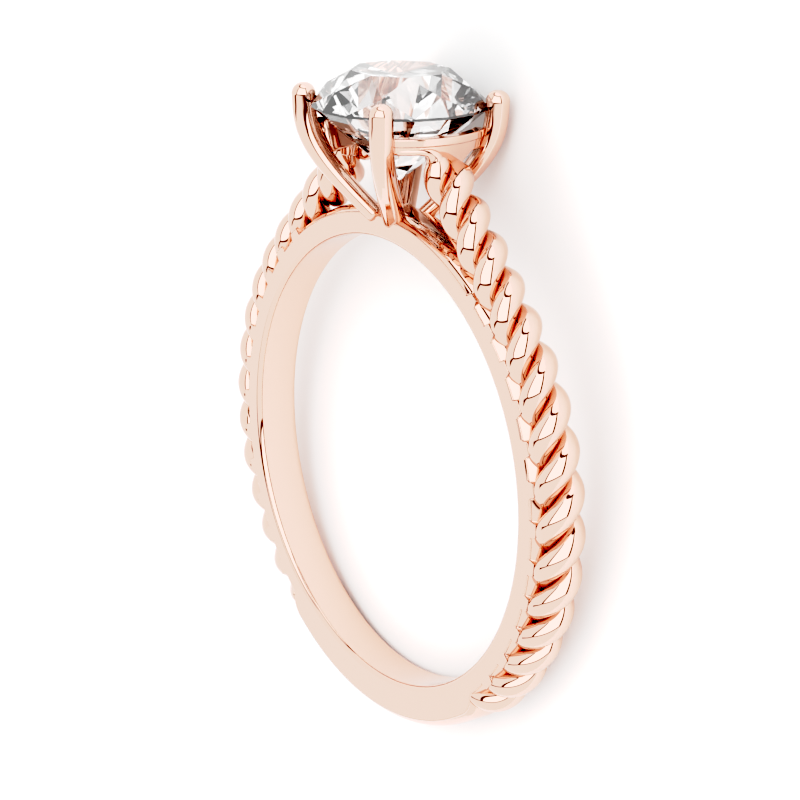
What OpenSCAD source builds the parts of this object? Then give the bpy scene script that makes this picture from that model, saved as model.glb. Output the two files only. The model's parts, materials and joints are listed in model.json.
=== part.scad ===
// Solitaire ring with rope shoulders and a four-prong head, lying on its side.
// The band, the plain shank, the two ropes and the head are cast and soldered
// into one piece of metal. The cut stone is the second piece.

/* [Band] */
// Inner diameter of the band, the finger size
bore_d = 17.3; // [17:0.1:17.8]
// Width of the band along the finger
band_w = 1.77; // [1.7:0.01:1.9]
// Thickness of the band under the ropes
band_t = 0.80; // [0.75:0.01:0.85]
// Bevel along both edges of the bore
bore_bevel = 0.19; // [0.12:0.01:0.22]
// Small bevel along the outer edges of the band
band_edge = 0.06; // [0.04:0.01:0.1]

/* [Plain shank] */
// Thickness of the plain shank in the middle of its crown
shank_t = 1.53; // [1.45:0.01:1.6]
// How far the crown stands above the edges of the plain shank
shank_crown = 0.24; // [0.15:0.01:0.3]
// Angle from the head at which the plain shank starts, on each side
shank_from = 141.5; // [140:0.5:143]

/* [Rope shoulders] */
// Length of one full turn of a strand along the rope
rope_pitch = 3.02; // [2.9:0.01:3.1]
// Share of the rope's radius that is the distance of a strand from its middle
strand_offset = 0.485; // [0.46:0.005:0.5]
// Turn of the strands of the first rope at the side of the ring, degrees
rope_turn_a = -50; // [-60:1:-40]
// Turn of the strands of the second rope at the side of the ring, degrees
rope_turn_b = -68; // [-78:1:-58]

/* [Head] */
// Distance of a prong's middle from the axis of the stone
prong_r = 3.58; // [3.55:0.01:3.6]
// Height of the prong tips above the middle of the ring
prong_top = 14.24; // [14.2:0.01:14.3]
// Width of a prong across
prong_w = 0.87; // [0.8:0.01:0.9]
// Height of the upper edge of the gallery above the middle of the ring
rim_z = 12.92; // [12.88:0.01:12.96]

/* [Stone] */
// Diameter of the stone at its girdle
stone_d = 6.5; // [6.4:0.05:6.5]
// Height of the girdle above the middle of the ring
girdle_z = 13.6; // [13.58:0.01:13.62]
// Height of the crown above the girdle
crown_h = 1.22; // [1.1:0.01:1.24]
// Share of the stone's diameter taken by the table
table_share = 0.565; // [0.54:0.005:0.6]
// Depth of the pavilion below the girdle
pavilion_h = 2.8; // [2.75:0.01:2.85]
// Turn of the stone in its prongs, degrees
stone_turn = 20; // [15:1:25]

/* [Hidden] */
$fn = 96;

bore_r = bore_d/2;
band_r = bore_r + band_t;
face = band_w/2;
shank_r = bore_r + shank_t;
shank_edge_r = shank_r - shank_crown;
shank_deep = 0.4;              // how far the plain shank reaches into the band
gold = [0.93, 0.74, 0.64];
clear = [0.9, 0.92, 0.94, 0.6];

// Middle line of a rope: angle from the head, distance from the middle of the
// ring and radius of the rope
rope_line = [
    // angle, distance, radius
    [  9, 12.62, 0.86],
    [ 20, 11.25, 0.90],
    [ 30, 10.46, 0.92],
    [ 40, 10.06, 0.91],
    [ 55,  9.93, 0.92],
    [ 80,  9.88, 0.96],
    [110,  9.87, 0.95],
    [125,  9.66, 0.93],
    [143,  9.20, 0.94]];
ROPE_STEPS = 16;               // sections for each full turn of a strand
LOBE = [-100, -64, -32, 0, 32, 64];   // section points of one strand, degrees
rope_start = 11;               // angle from the head where they begin, clear of the stone
rope_floor = bore_r + 0.3;     // the ropes stay outside this radius
rope_side = face - 0.01;       // and inside the two faces of the band
squeeze = 0.04;                // what is left of a step past these limits

// Prong: profile along its middle line, from its foot on the band
prong_foot = [0.86, 9.42];
prong_bend_1 = [2.75, 11.20];
prong_bend_2 = [prong_r, 12.05];
prong_upright = [prong_r, 13.45];
prong_foot_t = 0.62;           // thickness at the foot
prong_top_t = 0.86;            // thickness at the top
prong_round = 0.27;            // radius of its long edges
prong_tip_round = 0.30;        // rounding of its tip
PRONG_STEPS = 9;

// Gallery between two prongs
gallery_half = 38;             // degrees from its middle to the prong
rim_r = 3.22;
rim_h = 0.34;
rim_t = 0.42;
rim_bevel = 0.08;              // bevel along its upper and lower outer edges
rim_lap = 0.06;                // how far the wall starts inside the rim
wall_low_r = 2.72;
wall_low_z = 11.45;
wall_t = 0.40;
arch_y = 1.22;                 // middle of each arch, its springing and its radius
arch_z = 11.88;
arch_r = 0.40;

girdle_h = 0.10;               // height of the girdle
seat_gap = 0.03;               // air between the stone and the metal
seat_drop = 0.05;              // the same, measured along the stone's axis
pin_share = 0.22;              // share of the radius taken by the pavilion's inner corners

// Value of column c of a table at x, on a smooth curve through its rows
function row_of(t, x, i = 0) =
    i >= len(t) - 2 || x < t[i + 1][0] ? i : row_of(t, x, i + 1);
function rise(t, c, i) =
    i <= 0 || i >= len(t) - 1
    ? (t[min(i + 1, len(t) - 1)][c] - t[max(i - 1, 0)][c])
      /(t[min(i + 1, len(t) - 1)][0] - t[max(i - 1, 0)][0])
    : (t[i + 1][c] - t[i - 1][c])/(t[i + 1][0] - t[i - 1][0]);
function curve(t, c, x) =
    let (i = row_of(t, x), h = t[i + 1][0] - t[i][0], u = (x - t[i][0])/h)
    (2*u^3 - 3*u^2 + 1)*t[i][c] + (u^3 - 2*u^2 + u)*h*rise(t, c, i)
    + (3*u^2 - 2*u^3)*t[i + 1][c] + (u^3 - u^2)*h*rise(t, c, i + 1);
function unit(v) = v/norm(v);

// A closed skin through rings of points, all with the same number of points
module skin(rings) {
    m = len(rings[0]);
    n = len(rings);
    points = [for (r = rings) each r];
    sides = [for (i = [0:n - 2], j = [0:m - 1])
        let (a = i*m + j, b = i*m + (j + 1)%m, c = a + m, d = b + m)
        each [[a, c, b], [b, c, d]]];
    low = [for (j = [1:m - 2]) [0, j, j + 1]];
    high = [for (j = [1:m - 2]) [(n - 1)*m, (n - 1)*m + j + 1, (n - 1)*m + j]];
    polyhedron(points, concat(sides, low, high), convexity = 10);
}

// The head and the stone are drawn upright, with the middle of the ring at the
// origin; this lays them down beside the band
module laid_down() { rotate([-90, 0, 180]) children(); }

module band() {
    rotate_extrude($fn = 180)
        polygon([[bore_r, bore_bevel - face], [bore_r + bore_bevel, -face],
            [band_r - band_edge, -face], [band_r, band_edge - face],
            [band_r, face - band_edge], [band_r - band_edge, face],
            [bore_r + bore_bevel, face], [bore_r, face - bore_bevel]]);
}

// Outer line of the plain shank: a flat crown that falls off towards its edges
CROWN_STEPS = 4;
shank_crown_line = [for (i = [-CROWN_STEPS:CROWN_STEPS])
    [shank_r - shank_crown*(i/CROWN_STEPS)^4, face*i/CROWN_STEPS]];
module plain_shank() {
    rotate([0, 0, shank_from - 90])
        rotate_extrude(angle = 360 - 2*shank_from, $fn = 180)
            polygon(concat([[band_r - shank_deep, face], [band_r - shank_deep, -face]],
                shank_crown_line));
}

// Middle of a rope at angle a from the head, which points along -Y
function rope_mid(a) = let (r = curve(rope_line, 1, a)) [-r*sin(a), -r*cos(a)];
function rope_way(a) = unit(rope_mid(a + 0.2) - rope_mid(a - 0.2));
// Angles at equal steps of length along the rope, from the side both ways
function walk(a, end, step, list = []) =
    (step > 0 ? a > end : a < end) ? list :
    let (s = norm(rope_mid(a + 0.5) - rope_mid(a - 0.5)))
    walk(a + step/s, end, step, concat(list, [a]));
function limit_side(z) = abs(z) <= rope_side ? z : sign(z)*(rope_side + (abs(z) - rope_side)*squeeze);
function limit_floor(p) =
    let (r = norm([p[0], p[1]]), q = r >= rope_floor ? r : rope_floor - (rope_floor - r)*squeeze)
    [p[0]*q/r, p[1]*q/r, limit_side(p[2])];

// Section of the two strands: a round strand leaning along its helix, cut
// square to the rope
function strand_point(radius, u) =
    let (off = radius*strand_offset, rs = radius - off,
        w = 2*PI*off/rope_pitch, lean = sqrt(1 + w*w),
        slip = 360/rope_pitch*rs*sin(u)*w/lean,
        q = [off + rs*cos(u), rs*sin(u)/lean])
    [norm(q), atan2(q[1], q[0]) + slip];
function rope_ring(a, turn) =
    let (radius = curve(rope_line, 2, a), mid = rope_mid(a), way = rope_way(a),
        out = [way[1], -way[0]]*(way[1]*mid[0] - way[0]*mid[1] > 0 ? 1 : -1))
    [for (k = [0, 180], u = LOBE)
        let (p = strand_point(radius, u), t = turn + k + p[1],
            q = p[0]*cos(t)*out)
        limit_floor([mid[0] + q[0], mid[1] + q[1], p[0]*sin(t)])];

module rope(turn) {
    step = rope_pitch/ROPE_STEPS;
    up = walk(90, rope_start, -step);
    down = walk(90, rope_line[len(rope_line) - 1][0], step);
    n = len(up);
    skin(concat(
        [for (i = [n - 1:-1:0]) rope_ring(up[i], turn - i*360/ROPE_STEPS)],
        [for (i = [1:len(down) - 1]) rope_ring(down[i], turn + i*360/ROPE_STEPS)]));
}

// Middle line of a prong in its own upright plane, and the way along it
function prong_mid(t) =
    pow(1 - t, 3)*prong_foot + 3*t*pow(1 - t, 2)*prong_bend_1
    + 3*t*t*(1 - t)*prong_bend_2 + pow(t, 3)*prong_upright;
function prong_section(mid, way, thick, wide, round) =
    [for (c = [[1, 1, 0], [-1, 1, 90], [-1, -1, 180], [1, -1, 270]], b = [0, 45, 90])
        let (x = c[0]*(thick/2 - round) + round*cos(c[2] + b),
            y = c[1]*(wide/2 - round) + round*sin(c[2] + b))
        [mid[0] + x*way[1], y, mid[1] - x*way[0]]];
prong_lines = concat(
    [for (i = [0:PRONG_STEPS])
        let (t = i/PRONG_STEPS, d = 0.01)
        [prong_mid(t), unit(prong_mid(t + d) - prong_mid(t - d)),
            prong_foot_t + (prong_top_t - prong_foot_t)*min(1, t*1.25), prong_w, prong_round]],
    [for (b = [0, 30, 60, 85])
        [[prong_r, prong_top - prong_tip_round*(1 - sin(b))], [0, 1],
            prong_top_t - 2*prong_tip_round*(1 - cos(b)), prong_w - 2*prong_tip_round*(1 - cos(b)),
            prong_round - 0.13*(1 - cos(b))]]);

module prong() {
    skin([for (p = prong_lines) prong_section(p[0], p[1], p[2], p[3], p[4])]);
}

module gallery() {
    wall_top = rim_z - rim_h + rim_bevel;
    rotate([0, 0, -gallery_half]) rotate_extrude(angle = 2*gallery_half)
        polygon([[rim_r - rim_t, rim_z], [rim_r - rim_bevel, rim_z], [rim_r, rim_z - rim_bevel],
            [rim_r, rim_z - rim_h + rim_bevel], [rim_r - rim_bevel, rim_z - rim_h],
            [rim_r - rim_t, rim_z - rim_h]]);
    difference() {
        rotate([0, 0, -gallery_half]) rotate_extrude(angle = 2*gallery_half)
            polygon([[rim_r - rim_lap, wall_top], [wall_low_r, wall_low_z],
                [wall_low_r - wall_t, wall_low_z], [rim_r - rim_lap - wall_t, wall_top]]);
        for (y = [-arch_y, arch_y]) {
            translate([0, y, arch_z]) rotate([0, 90, 0]) cylinder(r = arch_r, h = 2*rim_r);
            translate([0, y - arch_r, arch_z - rim_r]) cube([2*rim_r, 2*arch_r, rim_r]);
        }
    }
}

// What is cut out of the metal for the stone: its pavilion as a cone, its
// girdle, and its crown as a cone above
module seat() {
    r = stone_d/2 + seat_gap;
    rotate_extrude() polygon([[0, girdle_z - girdle_h/2 - pavilion_h - seat_drop],
        [r, girdle_z - girdle_h/2 - seat_gap], [r, girdle_z + girdle_h/2 + seat_gap],
        [r*table_share, girdle_z + girdle_h/2 + crown_h + seat_drop],
        [0, girdle_z + girdle_h/2 + crown_h + seat_drop]]);
}

module mount_upright() {
    difference() {
        union() {
            for (k = [0:3]) rotate([0, 0, 45 + 90*k]) prong();
            for (k = [0, 180]) rotate([0, 0, k]) gallery();
        }
        seat();
    }
}

module mount_lying() {
    band();
    plain_shank();
    rope(rope_turn_a);
    mirror([1, 0, 0]) rope(rope_turn_b);
    laid_down() mount_upright();
}

module mount() {
    color(gold) placed() mount_lying();
}

// Cut stone: a table of eight corners, eight kites, and the halves between
// them and the girdle; eight mains and sixteen halves on the pavilion
stone_r = stone_d/2;
table_r = stone_r*table_share;
// a kite is flat, so its side corners lie on the line between its two ends
kite_r = (table_r + stone_r)/2;
kite_drop = (kite_r - table_r)/(stone_r - table_r);
function crown_ring(count, first, r, z) =
    [for (k = [0:count - 1]) let (a = stone_turn + first + 360/count*k) [r*cos(a), r*sin(a), z]];
stone_points = concat(
    crown_ring(8, 0, table_r, girdle_z + girdle_h/2 + crown_h),
    crown_ring(16, 0, stone_r, girdle_z + girdle_h/2),
    crown_ring(16, 0, stone_r, girdle_z - girdle_h/2),
    crown_ring(8, 22.5, kite_r/cos(22.5), girdle_z + girdle_h/2 + crown_h*(1 - kite_drop)),
    crown_ring(8, 22.5, stone_r*pin_share/cos(22.5),
        girdle_z - girdle_h/2 - pavilion_h*(1 - pin_share)),
    [[0, 0, girdle_z - girdle_h/2 - pavilion_h]]);

module stone_upright() {
    T = 0;                                     // first point of the table
    U = 8;                                     // of the girdle's upper edge
    L = 24;                                    // of its lower edge
    M = 40;                                    // of the kites' side corners
    P = 48;                                    // of the pavilion's inner corners
    C = 56;                                    // the culet
    faces = concat(
        [[for (k = [7:-1:0]) T + k]],
        [for (k = [0:7]) each [
            [T + k, T + (k + 1)%8, M + k],
            [T + k, M + k, U + 2*k],
            [T + k, U + 2*k, M + (k + 7)%8],
            [U + 2*k, M + k, U + 2*k + 1],
            [U + 2*k + 1, M + k, U + (2*k + 2)%16],
            [L + 2*k, L + 2*k + 1, P + k],
            [L + 2*k + 1, L + (2*k + 2)%16, P + k],
            [L + 2*k, P + k, C],
            [L + 2*k, C, P + (k + 7)%8]]],
        [for (k = [0:15]) each [
            [U + k, U + (k + 1)%16, L + k],
            [L + k, U + (k + 1)%16, L + (k + 1)%16]]]);
    polyhedron(stone_points, faces, convexity = 4);
}

module stone() {
    color(clear) placed() laid_down() stone_upright();
}

// The ring lies on its side, on the edge of its shank opposite the head and on
// the girdle of the stone or the prongs, whichever reaches further down. The
// tilt brings both to the floor, and the shift puts the middle of the ring's
// outline at the origin.
prong_side = [for (p = prong_lines)
    let (round = p[4], reach = (p[0][0] + (p[2]/2 - round)*p[1][1])*cos(45)
        + (p[3]/2 - round)*cos(45) + round)
    [0, reach, p[0][1]]];
tilt = max([for (p = concat(prong_side, stone_points)) atan2(p[1] - face, p[2] + shank_edge_r)]);
head_reach = max([for (p = stone_points) p[2]*cos(tilt) + p[1]*sin(tilt)]);
tail_reach = max([for (p = shank_crown_line) p[0]*cos(tilt) + p[1]*sin(tilt)]);
module placed() {
    translate([0, (head_reach - tail_reach)/2, face*cos(tilt) + shank_edge_r*sin(tilt)])
        rotate([-tilt, 0, 0]) children();
}

mount();
stone();
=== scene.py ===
import json
import math
import bmesh
import bpy
import numpy as np
from mathutils import Matrix


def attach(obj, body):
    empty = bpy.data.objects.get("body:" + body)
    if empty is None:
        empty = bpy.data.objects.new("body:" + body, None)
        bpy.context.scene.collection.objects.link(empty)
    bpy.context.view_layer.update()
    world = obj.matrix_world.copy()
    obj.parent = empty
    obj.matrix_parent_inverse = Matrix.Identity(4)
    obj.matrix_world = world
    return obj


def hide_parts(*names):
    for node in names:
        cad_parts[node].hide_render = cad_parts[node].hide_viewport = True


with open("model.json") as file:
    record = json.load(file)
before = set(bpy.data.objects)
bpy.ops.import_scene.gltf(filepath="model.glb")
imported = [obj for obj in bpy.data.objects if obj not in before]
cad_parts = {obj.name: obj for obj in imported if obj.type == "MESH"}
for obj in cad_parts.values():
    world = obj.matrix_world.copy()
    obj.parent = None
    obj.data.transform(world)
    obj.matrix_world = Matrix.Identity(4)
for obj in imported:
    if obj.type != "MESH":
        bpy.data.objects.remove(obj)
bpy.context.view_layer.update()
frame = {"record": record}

# Camera: the photograph's own view of the ring. The ring's shapes are worked out in its
# upright frame in millimetres, X across, Y along the finger, Z to the stone, and then laid
# on their side as the CAD part lies; the camera is laid over with them.
MM = 0.001
bore = frame["record"]["mounts"][0]
lean = math.atan2(bore["axis"][1], bore["axis"][2])
LAY = np.array([[-1, 0, 0],
                [0, -math.sin(lean), -math.cos(lean)],
                [0, -math.cos(lean), math.sin(lean)]])


def laid(points):
    """Points of the upright frame in mm as metres on the floor: p * LAY^T * 0.001 + bore."""
    return np.asarray(points, float) @ LAY.T * MM + np.array(bore["pos_m"])


FOCAL_PX, FRAME_PX, SENSOR = 2487.144, 800, 36.0
eye = (73.7324, -50.5444, 30.5825)
azimuth, height, roll = (math.radians(a) for a in (55.5204, 17.5545, 0.4133))
back = np.array([math.sin(azimuth) * math.cos(height),
                 -math.cos(azimuth) * math.cos(height), math.sin(height)])
right = np.array([math.cos(azimuth), math.sin(azimuth), 0.0])
up = np.cross(back, right)
view_x = math.cos(roll) * right + math.sin(roll) * up
view_y = math.cos(roll) * up - math.sin(roll) * right
camera = bpy.data.objects.new("camera", bpy.data.cameras.new("camera"))
bpy.context.scene.collection.objects.link(camera)
turn = np.stack([LAY @ view_x, LAY @ view_y, LAY @ back], axis=1)
camera.matrix_world = Matrix.Translation(laid(eye)) @ Matrix(turn.tolist()).to_4x4()
camera.data.sensor_width = SENSOR
camera.data.lens = FOCAL_PX / FRAME_PX * SENSOR
camera.data.clip_start, camera.data.clip_end = 0.001, 10.0
bpy.context.scene.camera = camera

# Band: the inner hoop of polished rose gold, cast, turned flat on both faces and rounded over at
# the edges of the bore for comfort. The plain shank at its back is the same metal, with a low
# crown and a scooped step at each end where the ropes die away.
BORE_R, BORE_ROUND, BAND_W, BAND_R = 8.65, 0.20, 1.77, 9.45
FACE = BAND_W / 2
BAND_EDGE = 0.035                     # radius of the outer edges of the band
STEPS = ((0, 9.45), (139.0, 9.45), (140.4, 9.50), (141.6, 9.70), (142.9, 9.84), (145.5, 9.94),
         (180, 9.94))                  # angle from the head, radius of the outer edge
CROWN = ((0, 0.33), (139.5, 0.33), (146.0, 0.35), (180, 0.35))   # angle, height of the crown


def smooth_table(table, x):
    """Cubic through the rows of a table: Hermite, with the slopes taken from the neighbours."""
    t = np.array(table, float)
    px, py = t[:, 0], t[:, 1]
    x = np.clip(x, px[0], px[-1])
    h = np.diff(px)
    d = np.diff(py) / h
    inner = (d[:-1] * h[1:] + d[1:] * h[:-1]) / (h[1:] + h[:-1])
    m = np.concatenate([d[:1], np.where(d[:-1] * d[1:] > 0, inner, 0), d[-1:]])
    i = np.clip(np.searchsorted(px, x, side="right") - 1, 0, len(px) - 2)
    u = (x - px[i]) / h[i]
    return ((2*u**3 - 3*u**2 + 1) * py[i] + (u**3 - 2*u**2 + u) * h[i] * m[i]
            + (3*u**2 - 2*u**3) * py[i + 1] + (u**3 - u**2) * h[i] * m[i + 1])


def rounded(corners, radii, arc=5, lead=0.012):
    """Closed polygon whose corner q becomes an arc of radius r about q + (a + b) r / sin(half),
    with one more point just outside each end of the arc, so that the flats stay flat."""
    p = [np.array(c, float) for c in corners]
    out = []
    for i, q in enumerate(p):
        a, b = p[i - 1] - q, p[(i + 1) % len(p)] - q
        a, b = a / np.linalg.norm(a), b / np.linalg.norm(b)
        if radii[i] == 0:
            out.append(q)
            continue
        half = math.acos(np.clip(a @ b, -1, 1)) / 2
        reach = radii[i] / math.tan(half)
        mid = q + (a + b) / np.linalg.norm(a + b) * radii[i] / math.sin(half)
        start, end = q + a * reach - mid, q + b * reach - mid
        a0 = math.atan2(start[1], start[0])
        da = (math.atan2(end[1], end[0]) - a0 + math.pi) % (2 * math.pi) - math.pi
        out.append(q + a * (reach + lead))
        out += [mid + radii[i] * np.array([math.cos(a0 + da*k/arc), math.sin(a0 + da*k/arc)])
                for k in range(arc + 1)]
        out.append(q + b * (reach + lead))
    return np.array(out)


def skin(rows, ring=False):
    """Corner numbers of the quads between rows of points (n, m, 3): (i, j), (i, j+1), (i+1, j+1),
    (i+1, j), closed round j, and round i too for a ring; otherwise each end has a fan to its
    middle. Gives the points and the faces."""
    n, m, _ = rows.shape
    i, j = np.meshgrid(np.arange(n if ring else n - 1), np.arange(m), indexing="ij")
    k, nj = (i + 1) % n, (j + 1) % m
    quads = np.stack([i*m + j, i*m + nj, k*m + nj, k*m + j], -1).reshape(-1, 4).tolist()
    points = rows.reshape(-1, 3)
    if ring:
        return points, quads
    points = np.concatenate([points, rows[[0, -1]].mean(axis=1)])
    j = np.arange(m)
    low = np.stack([(j + 1) % m, j, np.full(m, n*m)], -1)
    high = np.stack([(n-1)*m + j, (n-1)*m + (j + 1) % m, np.full(m, n*m + 1)], -1)
    return points, quads + low.tolist() + high.tolist()


def piece(name, shells, material, node, flat=False):
    """One object from shells of (points in mm, faces); every point goes through laid()."""
    points, faces, first = [], [], 0
    for shell_points, shell_faces in shells:
        points.append(laid(shell_points))
        faces += [[first + c for c in f] for f in shell_faces]
        first += len(shell_points)
    mesh = bpy.data.meshes.new(name)
    mesh.from_pydata(np.concatenate(points), [], faces)
    work = bmesh.new()
    work.from_mesh(mesh)
    bmesh.ops.recalc_face_normals(work, faces=work.faces)
    work.to_mesh(mesh)
    work.free()
    if not flat:
        mesh.shade_smooth()
    mesh.materials.append(material)
    obj = bpy.data.objects.new(name, mesh)
    bpy.context.scene.collection.objects.link(obj)
    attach(obj, "root")
    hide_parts(node)
    return obj


def linear(code):
    """Colour of an sRGB code such as ff8800, as linear light: ((c + 0.055) / 1.055)^2.4."""
    c = [int(code[k:k + 2], 16) / 255 for k in (0, 2, 4)]
    return [v / 12.92 if v <= 0.04045 else ((v + 0.055) / 1.055) ** 2.4 for v in c] + [1.0]


def add(tree, kind, inputs=None, **settings):
    """New node of a kind; inputs sets values or links by socket, settings sets its fields."""
    node = tree.nodes.new(kind)
    for key, value in settings.items():
        setattr(node, key, value)
    for key, value in (inputs or {}).items():
        if isinstance(value, bpy.types.NodeSocket):
            tree.links.new(value, node.inputs[key])
        else:
            node.inputs[key].default_value = value
    return node


# High polish rose gold: a warm pink mirror, with the faint unevenness of hand polishing, and
# painted shade: ambient occlusion darkens the colour to a deeper brown in narrow recesses
rose_gold = bpy.data.materials.new("rose_gold_high_polish")
rose_gold.use_nodes = True
tree = rose_gold.node_tree
metal = tree.nodes["Principled BSDF"]
SHADE_REACH_MM, PATCH_MM = 0.5, 10 / 9     # reach of the painted recess shade, and width of one patch of the hand polish
recess_shade = add(tree, "ShaderNodeAmbientOcclusion", {"Distance": SHADE_REACH_MM * MM}, samples=6)
shade_mix = add(tree, "ShaderNodeMapRange", {"Value": recess_shade.outputs["AO"], "From Min": 0.05,
                                         "From Max": 0.45})
# Painted shade: the base colour runs from e4beb0 in the open to the dark brown a8674a in recesses
gold = add(tree, "ShaderNodeMix", {0: shade_mix.outputs["Result"], 6: linear("a8674a"),
                                   7: linear("e4beb0")}, data_type="RGBA")
tree.links.new(gold.outputs[2], metal.inputs["Base Color"])
metal.inputs["Metallic"].default_value = 1.0
on_piece = add(tree, "ShaderNodeTexCoord")
hand = add(tree, "ShaderNodeTexNoise", {"Vector": on_piece.outputs["Object"],
                                        "Scale": 1 / (PATCH_MM * MM), "Detail": 2.0})
haze = add(tree, "ShaderNodeMapRange", {"Value": hand.outputs["Fac"], "From Min": 0.3,
                                        "From Max": 0.7, "To Min": 0.015, "To Max": 0.04})
tree.links.new(haze.outputs["Result"], metal.inputs["Roughness"])

# The line of the ropes is needed here already, for the band's face grows a flat tongue beside
# each strand, with a shallow pocket between one tongue and the next. Angles are from the head.
ROPE = ((9, 12.60), (20, 11.217), (30, 10.506), (40, 10.118), (50, 10.017), (60, 10.013),
        (100, 10.013), (112, 9.937), (122, 9.846), (131, 9.778), (141, 9.587))   # angle, distance
PITCH = 3.0203                        # length of one full turn of the twist
FIRST_TURN = {1: -48.4, -1: -68.3}    # twist at 90 degrees from the head, right and left
TONGUE, TONGUE_H = (-27, -17, 40, 54), 0.32      # twist where it rises and falls, and its height
TONGUE_FROM, TONGUE_TO = 35.2, 138    # angles between which the tongues stand


def rope_path():
    """Angle, middle, outward way and length along the rope: middle = d(a) (sin a, 0, cos a)."""
    a = np.linspace(ROPE[0][0], ROPE[-1][0], 3000)
    d = smooth_table(ROPE, a)
    mid = np.stack([d * np.sin(np.radians(a)), 0 * a, d * np.cos(np.radians(a))], 1)
    step = np.diff(mid, axis=0)
    length = np.concatenate([[0], np.cumsum(np.linalg.norm(step, axis=1))])
    way = np.gradient(mid, axis=0)
    way /= np.linalg.norm(way, axis=1)[:, None]
    out = np.stack([-way[:, 2], 0 * a, way[:, 0]], 1)
    return a, mid, out, length


def head_angle(angles):
    """Angle from the head, whichever way round is shorter: the smaller of a and 360 - a."""
    return np.minimum(angles, 360 - angles)


def tongue(angles, face):
    """Height of the band's flat tongues at a face (-1 front, 1 back): one beside each strand,
    from TONGUE[0] to TONGUE[3] degrees of twist past the strand's crossing of the face. Each
    side of a tongue is the smooth step t^2 (3 - 2 t)."""
    a, _, _, length = rope_path()
    side = np.where(angles < 180, 1, -1)
    along = np.interp(head_angle(angles), a, length) - np.interp(90.0, a, length)
    first = np.where(side > 0, FIRST_TURN[1], FIRST_TURN[-1])
    past = -face * ((first + 360 * along / PITCH) % 180 - 90)
    rise = np.clip((past - TONGUE[0]) / (TONGUE[1] - TONGUE[0]), 0, 1)
    fall = np.clip((TONGUE[3] - past) / (TONGUE[3] - TONGUE[2]), 0, 1)
    there = (np.clip(head_angle(angles) - TONGUE_FROM, 0, 1)
             * np.clip((TONGUE_TO - head_angle(angles)) / 2, 0, 1))
    return TONGUE_H * there * (rise * rise * (3 - 2 * rise)) * (fall * fall * (3 - 2 * fall))


# Sections of the hoop stand close together beside the ropes and steps, wider elsewhere
angles = np.unique(np.round(np.concatenate([
    np.arange(0, 35, 1.0), np.arange(35, 137, 0.2), np.arange(137, 150, 0.15),
    np.arange(150, 210, 1.0), np.arange(210, 223, 0.15), np.arange(223, 325, 0.2),
    np.arange(325, 360, 1.0)]), 3))
section = rounded([(BORE_R, -FACE), (BAND_R, -FACE),
                   *((BAND_R, FACE * math.sin(math.pi * k / 18)) for k in range(-8, 9)),
                   (BAND_R, FACE), (BORE_R, FACE)],
                  (BORE_ROUND, BAND_EDGE) + (0,) * 17 + (BAND_EDGE, BORE_ROUND), arc=8)
across = section[:, 1]
outer = (section[:, 0] > BAND_R - BAND_EDGE - 0.02).astype(float)    # 1 on the outer side
swell = 1 - np.abs(across / FACE) ** 4                               # low arch of the crown
beside = np.clip((np.abs(across) / FACE - 0.4) / 0.35, 0, 1)         # 1 near either face
edge = smooth_table(STEPS, head_angle(angles))
crown = smooth_table(CROWN, head_angle(angles))
tongues = np.where(across[None, :] < 0, tongue(angles, -1)[:, None], tongue(angles, 1)[:, None])
lift = np.maximum(crown[:, None] * swell[None, :], tongues * beside[None, :])
radius = section[None, :, 0] + outer[None, :] * ((edge - BAND_R)[:, None] + lift)
around = np.radians(angles)[:, None]
hoop = np.stack([radius * np.sin(around), np.broadcast_to(across, radius.shape),
                 radius * np.cos(around)], -1)
piece("band", [skin(hoop, ring=True)], rose_gold, "mount")

# Rope shoulders: two round strands twisted together on each side, cast with the band and as wide
# as it is, from the head down to the plain shank
THICK = ((9, 0.86), (20, 0.90), (100, 0.8985), (112, 0.88), (141, 0.878))   # angle, radius
SHARE = 0.467                    # share of that radius from the rope's middle to a strand's
CUT, CUT_ROUND = FACE - 0.001, 0.04   # the strands are cut here, flush with the band's faces
ROPE_FLOOR = 8.95                # the strands end inside the band at this radius
STRAND_START = (11.9, 12.5)      # angle from the head where each strand's round end lies


def flush(y):
    """y kept within the faces of the band, with the edge of the cut rounded: past CUT - w the
    slope falls evenly to nothing at CUT + w."""
    t = np.clip((np.abs(y) - CUT + CUT_ROUND) / (2 * CUT_ROUND), 0, 1)
    inside = np.minimum(np.abs(y), CUT - CUT_ROUND)
    return np.sign(y) * (inside + 2 * CUT_ROUND * (t - t * t / 2))


def tube(middle, radius, around=56, first=None):
    """Rows of circles square to a line of middles: m + r (cos u side + sin u other), where side
    is `first` made square to the line, and other is square to both."""
    way = np.gradient(middle, axis=0)
    way /= np.linalg.norm(way, axis=1)[:, None]
    side = first - (first * way).sum(1)[:, None] * way
    side /= np.linalg.norm(side, axis=1)[:, None]
    other = np.cross(way, side)
    u = np.linspace(0, 2 * math.pi, around, endpoint=False)[None, :, None]
    return middle[:, None] + np.asarray(radius)[:, None, None] * (
        np.cos(u) * side[:, None] + np.sin(u) * other[:, None])


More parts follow.
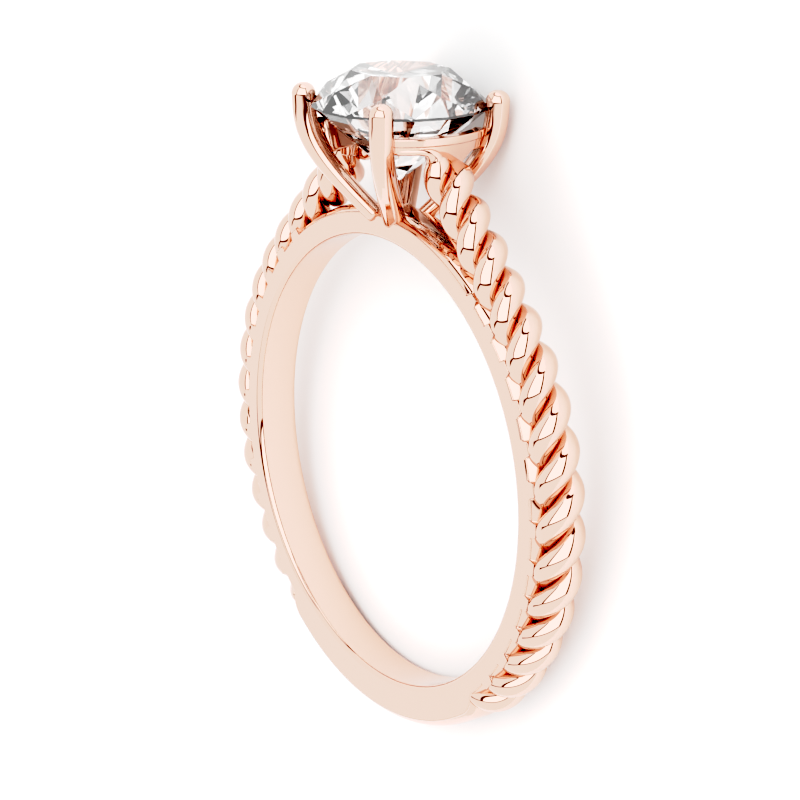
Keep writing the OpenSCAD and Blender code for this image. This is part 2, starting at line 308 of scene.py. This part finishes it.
def strand(side, which, per_mm=24):
    """One strand: middle + share * R * (cos t out - sin t Y), t = first turn + 360 s / pitch, with
    a round upper end, where the radius is that of a ball, r sqrt(1 - (1 - s / r)^2)."""
    a, mid, out, length = rope_path()
    s = np.linspace(np.interp(STRAND_START[which], a, length), length[-1],
                    int(length[-1] * per_mm))
    mid = np.stack([np.interp(s, length, mid[:, c]) for c in range(3)], 1)
    out = np.stack([np.interp(s, length, out[:, c]) for c in range(3)], 1)
    size = smooth_table(THICK, np.interp(s, length, a))
    dome = np.clip((s - s[0]) / ((1 - SHARE) * size[0]), 0.001, 1)
    t = np.radians(FIRST_TURN[side] + 180 * which) + 2 * math.pi * (
        s - np.interp(90.0, a, length)) / PITCH
    reach = np.cos(t)[:, None] * out + np.sin(t)[:, None] * np.array([0, -1.0, 0])
    rows = tube(mid + (SHARE * size)[:, None] * reach,
                (1 - SHARE) * size * np.sqrt(1 - (1 - dome) ** 2), first=reach)
    rows[..., 1] = flush(rows[..., 1])
    far = np.hypot(rows[..., 0], rows[..., 2])
    keep = np.where(far < ROPE_FLOOR, ROPE_FLOOR / far, 1)
    rows[..., 0] *= keep * side
    rows[..., 2] *= keep
    return rows


for side, name in ((1, "rope_shoulder_right"), (-1, "rope_shoulder_left")):
    piece(name, [skin(strand(side, 0)), skin(strand(side, 1))], rose_gold, "mount")

# Prongs: four claws of the head, each bent out from a foot on the band and then upright beside
# the stone, filed to a rounded tip
PRONG_BEND = ((0.86, 9.42), (2.75, 11.20), (3.50, 12.00), (3.57, 13.45))   # distance, height
BEND_ROWS = 60                   # sections along the bend
PRONG_LEAN = 0.055               # the upright part leans out by this much of its height
PRONG_TOP, TIP = 14.24, 0.40
PRONG_W, FOOT_T, TOP_T, PRONG_ROUND = 0.87, 0.62, 0.88, 0.42


def prong(turned):
    """Rounded rectangles along a Bezier line, then straight up to a tip where they shrink as
    the square root of 1 - (h / tip)^2; turned about Z."""
    t = np.linspace(0, 1, BEND_ROWS)[:, None]
    p = np.array(PRONG_BEND)
    low = ((1-t)**3 * p[0] + 3*t*(1-t)**2 * p[1] + 3*t*t*(1-t) * p[2] + t**3 * p[3])
    straight = np.linspace(PRONG_BEND[3][1], PRONG_TOP - TIP, 12)[1:]
    dome = PRONG_TOP - TIP + TIP * np.sin(np.radians(np.linspace(4, 88, 22)))
    z = np.concatenate([low[:, 1], straight, dome])
    upper = z[BEND_ROWS:]
    u = np.concatenate([low[:, 0], PRONG_BEND[3][0] + PRONG_LEAN * (upper - PRONG_BEND[3][1])])
    way = np.gradient(np.stack([u, z], 1), axis=0)
    way[BEND_ROWS:] = (PRONG_LEAN, 1)
    way /= np.linalg.norm(way, axis=1)[:, None]
    grow = np.clip(np.linspace(0, 1, BEND_ROWS) * 1.25, 0, 1)
    thick = np.concatenate([FOOT_T + (TOP_T - FOOT_T) * grow, np.full(len(upper), TOP_T)])
    high = np.clip((z - PRONG_TOP + TIP) / TIP, 0, 1)
    inset = TIP * (1 - np.sqrt(np.clip(1 - high**2, 0, 1)))
    rows = []
    for k in range(len(z)):
        a, b = thick[k] / 2 - inset[k], PRONG_W / 2 - inset[k]
        r = max(PRONG_ROUND - 0.6 * inset[k], min(a, b) * 0.3)
        r = min(r, a * 0.98, b * 0.98)
        q = rounded([(a, b), (-a, b), (-a, -b), (a, -b)], [r] * 4, arc=8, lead=0.004)
        rows.append(np.stack([u[k] + q[:, 0] * way[k, 1], q[:, 1],
                              z[k] - q[:, 0] * way[k, 0]], 1))
    rows = np.array(rows)
    c, s = math.cos(math.radians(turned)), math.sin(math.radians(turned))
    return rows @ np.array([[c, s, 0], [-s, c, 0], [0, 0, 1]])


for turned, name in ((-45, "prong_front_right"), (45, "prong_back_right"),
                     (135, "prong_back_left"), (225, "prong_front_left")):
    piece(name, [skin(prong(turned))], rose_gold, "mount")

# Gallery: a rim and a thin leaning wall between two prongs on each side, soldered to the tops of
# the ropes. The wall has a point in its middle and a small arch at each end, but for the front
# half of the far one, which is closed.
RIM_R, RIM_Z, RIM_H, RIM_T, RIM_BEVEL = 3.22, 12.92, 0.30, 0.42, 0.06
RIM_TAPER = 0.03                   # the rim's face is this much further in at its foot
WALL_IN, WALL_LEAN, WALL_T = 0.06, 0.25, 0.40
WALL_LOW = {                       # side: angle from the wall's middle, height of its lower edge
    1: ((-40, 12.33), (-22, 12.33), (-17.5, 12.27), (-14.6, 12.05), (-13, 11.75), (-9, 11.62),
        (0, 11.55), (9, 11.62), (13, 11.72), (17, 11.95), (21, 12.12), (27, 12.20), (40, 12.20)),
    -1: ((-40, 11.60), (-9, 11.60), (0, 11.55), (9, 11.62), (13, 11.72), (17, 11.95),
         (21, 12.12), (27, 12.20), (40, 12.20))}


def gallery(side):
    """Sections of rim and wall about the stone's axis: the wall at height z stands at
    RIM_R - WALL_IN - lean (rim - z) and ends in a round edge at the height that WALL_LOW gives."""
    az = np.unique(np.round(np.concatenate([np.linspace(-39, 39, 157),
                                            np.linspace(-18, -11, 60)]), 4))
    low = smooth_table(WALL_LOW[side], az)
    under = RIM_Z - RIM_H
    rows = []
    for k in range(len(az)):
        drop = under - low[k]
        wall = RIM_R - WALL_IN
        foot = wall - WALL_LEAN * drop
        q = rounded([(RIM_R - RIM_T, RIM_Z), (RIM_R, RIM_Z), (RIM_R - RIM_TAPER, under),
                     (wall, under), (foot, low[k]), (foot - WALL_T, low[k]),
                     (wall - WALL_T - 0.02, under)],
                    (0.05, RIM_BEVEL, 0.04, 0.02, 0.1, 0.1, 0.05), arc=5, lead=0.004)
        a = math.radians(az[k])
        rows.append(np.stack([q[:, 0] * math.cos(a) * side, q[:, 0] * math.sin(a), q[:, 1]], 1))
    return np.array(rows)


BAR = ((-40, 2.96, 12.44, 0.13), (-30, 3.02, 12.44, 0.13), (-22, 3.05, 12.44, 0.13),
       (-17, 3.06, 12.42, 0.15), (-13.5, 3.05, 12.37, 0.19), (-10.5, 3.0, 12.22, 0.28),
       (-8.5, 2.95, 11.97, 0.37), (-7, 2.94, 11.7, 0.42),
       (-7.5, 2.98, 11.3, 0.43))   # angle from the wall's middle, distance, height, radius


def joint(side):
    """The bar that leaves the front prong under the rim and bends down into the front strand: a
    tube along the cubic through the rows of BAR, (d cos a, d sin a, z)."""
    line = np.array(BAR)
    k = np.arange(len(line))
    fine = np.linspace(0, len(line) - 1, 120)
    a, r, z, size = (smooth_table(np.stack([k, line[:, c]], 1), fine) for c in range(4))
    mid = np.stack([r * np.cos(np.radians(a)) * side, r * np.sin(np.radians(a)), z], 1)
    first = np.stack([np.cos(np.radians(a)) * side, np.sin(np.radians(a)), 0 * a], 1)
    return tube(mid, size, around=40, first=first)


for side, name in ((1, "gallery_right"), (-1, "gallery_left")):
    piece(name, [skin(gallery(side)), skin(joint(side))], rose_gold, "mount")

# Stone: a round brilliant cut stone, clear, ground flat on every facet and polished, with its
# girdle held by the four prongs
STONE_R, TABLE_R, GIRDLE_Z, GIRDLE_H = 3.25, 1.836, 13.6, 0.10
CROWN_H, PAVILION_H, PIN_SHARE, STONE_TURN = 1.22, 2.80, 0.22, 20.0


def corners(count, first, radius, z):
    """count corners at equal angles from `first` degrees, at one radius and height."""
    a = np.radians(STONE_TURN + first + 360 / count * np.arange(count))
    return np.stack([radius * np.cos(a), radius * np.sin(a), np.full(count, z)], 1)


def brilliant():
    """Table, 8 stars, 8 kites, 16 upper halves, girdle, 16 lower halves and 8 mains. A kite is
    flat, so its side corners lie halfway in radius and height between its ends."""
    top, high, low = GIRDLE_Z + GIRDLE_H/2 + CROWN_H, GIRDLE_Z + GIRDLE_H/2, GIRDLE_Z - GIRDLE_H/2
    half = 1 / math.cos(math.pi / 8)
    points = np.concatenate([
        corners(8, 0, TABLE_R, top),
        corners(8, 22.5, (TABLE_R + STONE_R) / 2 * half, (top + high) / 2),
        corners(16, 0, STONE_R, high), corners(16, 0, STONE_R, low),
        corners(8, 22.5, STONE_R * PIN_SHARE * half, low - PAVILION_H * (1 - PIN_SHARE)),
        [[0, 0, low - PAVILION_H]]])
    table, star, upper, lower, pin, culet = 0, 8, 16, 32, 48, 56
    faces = [list(range(8))]
    for k in range(8):
        n, g, h = (k + 1) % 8, 2 * k, (2 * k + 2) % 16
        faces += [[table + k, star + k, table + n],
                  [table + k, star + (k - 1) % 8, upper + g, star + k],
                  [star + k, upper + g, upper + g + 1], [star + k, upper + g + 1, upper + h],
                  [pin + k, lower + g, lower + g + 1], [pin + k, lower + g + 1, lower + h],
                  [culet, pin + (k - 1) % 8, lower + g, pin + k]]
    for k in range(16):
        faces.append([upper + k, lower + k, lower + (k + 1) % 16, upper + (k + 1) % 16])
    return points, faces


# Clear cut stone: bends light strongly, so its facets flash white and grey
stone_look = bpy.data.materials.new("clear_cut_stone")
stone_look.use_nodes = True
tree = stone_look.node_tree
tree.nodes.remove(tree.nodes["Principled BSDF"])
glass = add(tree, "ShaderNodeBsdfGlass", {"Color": linear("ffffff"), "IOR": 2.417,
                                          "Roughness": 0.0})
tree.links.new(glass.outputs[0], tree.nodes["Material Output"].inputs["Surface"])
piece("cut_stone", [brilliant()], stone_look, "stone", flat=True)

# Floor: a plain table top under white paper, far wider than the view, on which the ring lies.
# It is stage only and no piece of the ring.
FLOOR_HALF = 1.5                 # metres
floor_mesh = bpy.data.meshes.new("floor")
floor_mesh.from_pydata([(-FLOOR_HALF, -FLOOR_HALF, 0), (FLOOR_HALF, -FLOOR_HALF, 0),
                        (FLOOR_HALF, FLOOR_HALF, 0), (-FLOOR_HALF, FLOOR_HALF, 0)],
                       [], [(0, 1, 2, 3)])
floor = bpy.data.objects.new("floor", floor_mesh)
bpy.context.scene.collection.objects.link(floor)
# White paper: matt and without any gloss, so it shows only soft shadows
paper = bpy.data.materials.new("white_paper")
paper.use_nodes = True
matt = paper.node_tree.nodes["Principled BSDF"]
matt.inputs["Base Color"].default_value = linear("f8f8f8")
matt.inputs["Roughness"].default_value = 0.9
matt.inputs["Specular IOR Level"].default_value = 0.0
floor_mesh.materials.append(paper)

# Light: large soft boxes round the ring with narrow warm gaps between them, a plain studio. They
# are set by angle in the ring's upright frame: `turn` from the front to the right, and height.
BOXES = (                                # turn from, to, height from, to, rise per degree, light
    (-95, -7, -40, 62, 0.0, 1.18),
    (-7, 95, -8, 62, 0.0, 1.80),
    (-185, 50, 66, 95, 0.0, 1.60),
    (45, 185, 56, 95, -0.13, 1.60))
GAPS = (
    (-11, -4, -10, 52, 0.0), (-48, -7, -15.2, -11, 0.24), (-7, 95, -10, -6, 0.0),
    (79, 89, -6, 60, 0.0), (-95, 48, 59, 66, 0.0), (45, 95, 56, 62, -0.13))
GAP_COLOUR = (0.17, 0.10, 0.07)
REST = 1.18                              # light of all that no box covers
SOFT = 1.2                               # width of a soft edge, degrees
TABLE_GAIN = 0.10                        # share by which the table top is lit more
world = bpy.data.worlds.new("studio")
bpy.context.scene.world = world
world.use_nodes = True
tree = world.node_tree
way = add(tree, "ShaderNodeTexCoord").outputs["Generated"]
upright = [add(tree, "ShaderNodeVectorMath", {0: way, 1: LAY[:, k].tolist()},
               operation="DOT_PRODUCT").outputs["Value"] for k in range(3)]
front = add(tree, "ShaderNodeMath", {0: upright[1], 1: -1.0}, operation="MULTIPLY")
turn_at = add(tree, "ShaderNodeMath", {0: upright[0], 1: front.outputs[0]}, operation="ARCTAN2")
turn_at = add(tree, "ShaderNodeMath", {0: turn_at.outputs[0]}, operation="DEGREES").outputs[0]
height_at = add(tree, "ShaderNodeMath", {0: upright[2]}, operation="ARCSINE")
height_at = add(tree, "ShaderNodeMath", {0: height_at.outputs[0]}, operation="DEGREES").outputs[0]
plain = add(tree, "ShaderNodeRGB")
plain.outputs[0].default_value = (REST, REST, REST, 1)
light = plain.outputs[0]
for turn_from, turn_to, low, high, rise, colour in (
        [box[:5] + ((box[5],) * 3,) for box in BOXES] + [gap + (GAP_COLOUR,) for gap in GAPS]):
    level = add(tree, "ShaderNodeMath", {0: turn_at, 1: -rise, 2: height_at},
                operation="MULTIPLY_ADD").outputs[0]
    shift = rise * (turn_from + turn_to) / 2
    mask = None
    for value, at, sign in ((turn_at, turn_from, 1), (turn_at, turn_to, -1),
                            (level, low - shift, 1), (level, high - shift, -1)):
        inside = add(tree, "ShaderNodeMapRange",
                     {"Value": value, "From Min": at - sign * SOFT / 2,
                      "From Max": at + sign * SOFT / 2}, interpolation_type="SMOOTHSTEP")
        mask = inside.outputs[0] if mask is None else add(
            tree, "ShaderNodeMath", {0: mask, 1: inside.outputs[0]},
            operation="MULTIPLY").outputs[0]
    light = add(tree, "ShaderNodeMix", {0: mask, 6: light, 7: colour + (1.0,)},
                data_type="RGBA").outputs[2]
# Through the stone the studio is broken into lights and dark flags about 16 degrees wide, so
# that its facets show
FLAGS = ((0.0, 0.02), (0.26, 0.40), (0.48, 0.68), (0.70, 0.95), (0.86, 1.3))   # from, light
cells = add(tree, "ShaderNodeTexVoronoi", {"Vector": way, "Scale": 3.6, "Randomness": 1.0})
grey = add(tree, "ShaderNodeSeparateColor", {"Color": cells.outputs["Color"]})
flags = add(tree, "ShaderNodeValToRGB", {"Fac": grey.outputs[0]})
flags.color_ramp.interpolation = "CONSTANT"
stops = flags.color_ramp.elements
stops[-1].position = FLAGS[-1][0]
for at, _ in FLAGS[1:-1]:
    stops.new(at)
for stop, (_, shade) in zip(stops, FLAGS):
    stop.color = (shade, shade, shade, 1)
through = add(tree, "ShaderNodeLightPath").outputs["Is Transmission Ray"]
light = add(tree, "ShaderNodeMix", {0: through, 6: light, 7: flags.outputs["Color"]},
            data_type="RGBA").outputs[2]
tree.links.new(light, tree.nodes["Background"].inputs["Color"])
# The table top gets a little more light than the mirrors see, so that shadows stay faint
spread = add(tree, "ShaderNodeLightPath").outputs["Is Diffuse Ray"]
gain = add(tree, "ShaderNodeMath", {0: spread, 1: TABLE_GAIN, 2: 1.0}, operation="MULTIPLY_ADD")
tree.links.new(gain.outputs[0], tree.nodes["Background"].inputs["Strength"])

# One broad lamp overhead gives the faint shadow; neither mirrors nor the stone show it
lamp = bpy.data.objects.new("overhead", bpy.data.lights.new("overhead", "SUN"))
bpy.context.scene.collection.objects.link(lamp)
lamp.data.energy, lamp.data.angle = 0.4, math.radians(50)
lamp.rotation_euler = (math.radians(-25), math.radians(20), 0)
lamp.visible_glossy = False
lamp.visible_transmission = False

# Tone: a soft shoulder for the whites and deep darks, as in the photograph
TONE = ((0, 0), (0.10, 0.006), (0.15, 0.056), (0.20, 0.14), (0.30, 0.314), (0.39, 0.445),
        (0.60, 0.70), (0.80, 0.82), (0.92, 0.871), (1.05, 0.93), (1.15, 1.0))
view = bpy.context.scene.view_settings
view.view_transform = "Standard"
view.use_curve_mapping = True
curves = view.curve_mapping
curves.white_level = (TONE[-1][0],) * 3
tone = curves.curves[3]
while len(tone.points) < len(TONE):
    tone.points.new(0.5, 0.5)
for point, (x, y) in zip(tone.points, TONE):
    point.location = (x / TONE[-1][0], y)
curves.update()
